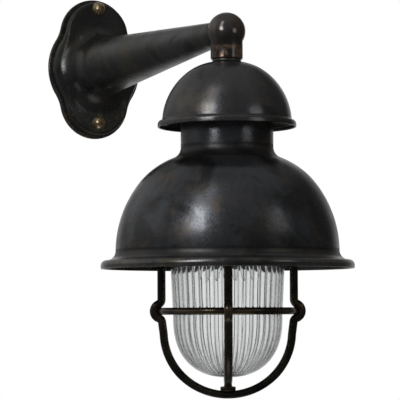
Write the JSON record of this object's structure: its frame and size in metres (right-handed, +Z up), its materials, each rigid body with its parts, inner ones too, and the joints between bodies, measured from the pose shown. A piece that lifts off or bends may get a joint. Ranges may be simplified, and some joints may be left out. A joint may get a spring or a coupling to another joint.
{
  "type": "ship lamp",
  "caption": "Wall-mounted ship's lamp: lobed plate, tapered arm, ball elbow, small cap, domed shade with a rolled brim, ribbed glass jar and a guard of crossing hoops.",
  "frame": {"origin": "on the wall, on the plate's back face, level with the centre of the ball elbow", "axes": "+Z up; +Y into the wall, so the lamp reaches towards -Y; +X to the right of someone facing the wall"},
  "size_m": [0.24, 0.425, 0.4216],
  "materials": {
    "dark_bronze": "dark patinated bronze, half gloss, with brown and bluish stains",
    "brown_bronze": "dark brown patinated bronze, rubbed to copper on edges",
    "worn_brass": "worn yellow brass with dark dirt in its hollows",
    "plated_steel": "dull zinc-plated steel",
    "tungsten": "dull grey drawn wire",
    "pale_enamel": "pale stove enamel, half matt",
    "white_porcelain": "white glazed porcelain",
    "clear_glass": "clear polished glass",
    "ribbed_glass": "clear pressed glass with fine upright ribs",
    "black_rubber": "black sheet rubber, matt",
    "cream_plastic": "cream moulded plastic",
    "brown_wire": "brown wire insulation",
    "blue_wire": "blue wire insulation",
    "green_wire": "green wire insulation with yellow"
  },
  "bodies": {
    "root": {"back_plate": "dark_bronze", "plate_gasket": "black_rubber", "arm_casting": "dark_bronze", "plate_screw_upper": "worn_brass", "plate_screw_lower": "worn_brass", "terminal_block": "cream_plastic", "terminal_screw_left": "plated_steel", "terminal_screw_right": "plated_steel", "earth_screw": "worn_brass", "earth_wire": "green_wire", "live_wire": "brown_wire", "neutral_wire": "blue_wire", "arm_nipple": "plated_steel", "ball_elbow": "brown_bronze", "ring_washer": "dark_bronze", "cap": "dark_bronze", "spacer_tube": "worn_brass", "shade": "dark_bronze", "hanger_tube": "plated_steel", "gallery": "pale_enamel", "gallery_washer": "plated_steel", "gallery_nut": "plated_steel", "holder_cap": "white_porcelain", "holder_body": "white_porcelain", "holder_shell": "worn_brass", "holder_post_left": "worn_brass", "holder_post_right": "worn_brass", "centre_contact": "worn_brass"},
    "globe": {"glass_globe": "ribbed_glass", "globe_gasket": "black_rubber"},
    "guard": {"guard_collar": "brown_bronze", "hoop_outer": "brown_bronze", "hoop_inner": "brown_bronze", "guard_ring": "brown_bronze", "crossing_boss": "brown_bronze"},
    "bulb": {"bulb_cap": "worn_brass", "bulb_glass": "clear_glass", "bulb_stem": "clear_glass", "bulb_filament": "tungsten"}
  },
  "joints": [
    {"name": "globe_drop", "type": "slide", "parent": "root", "child": "globe", "axis": [0, 0, -1], "range_m": [0, 0.12]},
    {"name": "guard_turn", "type": "hinge", "parent": "globe", "child": "guard", "pos_m": [0, -0.305, -0.1915], "axis": [0, 0, -1], "range_deg": [0, 1080]},
    {"name": "bulb_turn", "type": "hinge", "parent": "root", "child": "bulb", "pos_m": [0, -0.305, -0.16], "axis": [0, 0, -1], "range_deg": [0, 1080]}
  ]
}
